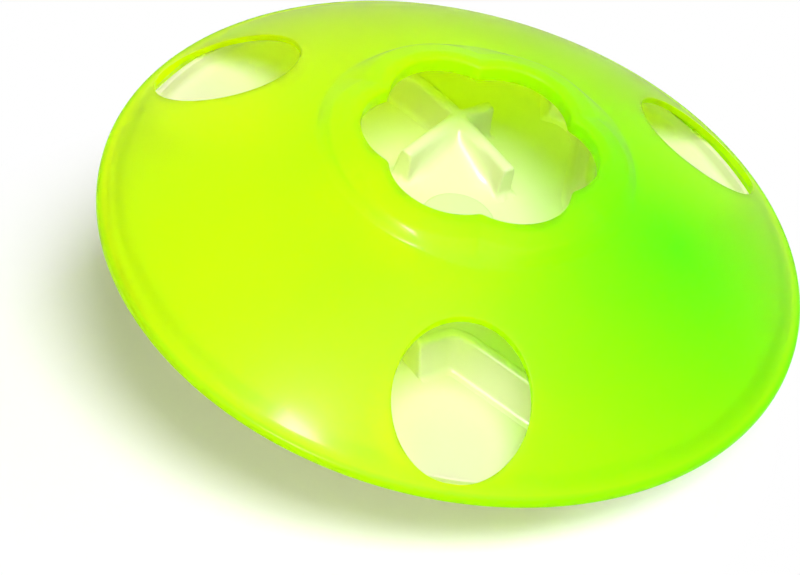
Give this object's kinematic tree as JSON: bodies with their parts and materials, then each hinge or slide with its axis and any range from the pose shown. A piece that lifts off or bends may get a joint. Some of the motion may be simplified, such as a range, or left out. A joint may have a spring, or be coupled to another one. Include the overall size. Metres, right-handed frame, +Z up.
{
  "type": "cat treat spinner",
  "caption": "Domed cat toy that wobbles and spins on a round foot and lets treats out through a lobed centre opening and round side holes.",
  "frame": {"origin": "middle of the foot pad's underside, on the floor, with the toy standing level", "axes": "+Z up along the spin axis, -Y through one side hole, +X to the right when that hole faces the viewer"},
  "size_m": [0.225, 0.225, 0.0695],
  "materials": {
    "cover_lime": "translucent lime plastic, glossy",
    "tray_cream": "cream plastic, satin",
    "cap_cream": "cream plastic, satin",
    "bowl_cream": "cream plastic, satin",
    "seal_rubber": "soft ivory rubber",
    "screw_steel": "stainless steel",
    "cushion_foam": "closed-cell foam, matte",
    "ballast_steel": "zinc-plated steel",
    "bush_plastic": "natural acetal",
    "washer_plastic": "white slippery plastic",
    "pin_steel": "ground stainless steel",
    "clip_steel": "spring steel",
    "foot_plastic": "cream plastic, polished",
    "pad_rubber": "dark grey rubber",
    "plug_rubber": "soft ivory rubber"
  },
  "bodies": {
    "foot": {"foot_pad": "pad_rubber", "foot_button": "foot_plastic", "pivot_pin": "pin_steel", "pivot_clip": "clip_steel", "thrust_washer": "washer_plastic"},
    "base": {"base_bowl": "bowl_cream", "pivot_bush": "bush_plastic", "ballast_cushion": "cushion_foam", "ballast_ring": "ballast_steel", "shell_seal": "seal_rubber", "shell_screws": "screw_steel", "screw_plug_back": "plug_rubber", "screw_plug_left": "plug_rubber", "screw_plug_right": "plug_rubber", "treat_tray": "tray_cream", "hub_cap": "cap_cream"},
    "cover": {"top_cover": "cover_lime"}
  },
  "joints": [
    {"name": "bowl_spin", "type": "hinge", "parent": "foot", "child": "base", "pos_m": [0, 0, 0.004], "axis": [0, 0, 1], "continuous": true},
    {"name": "cover_lift", "type": "slide", "parent": "base", "child": "cover", "axis": [0, 0, 1], "range_m": [0, 0.06]}
  ]
}
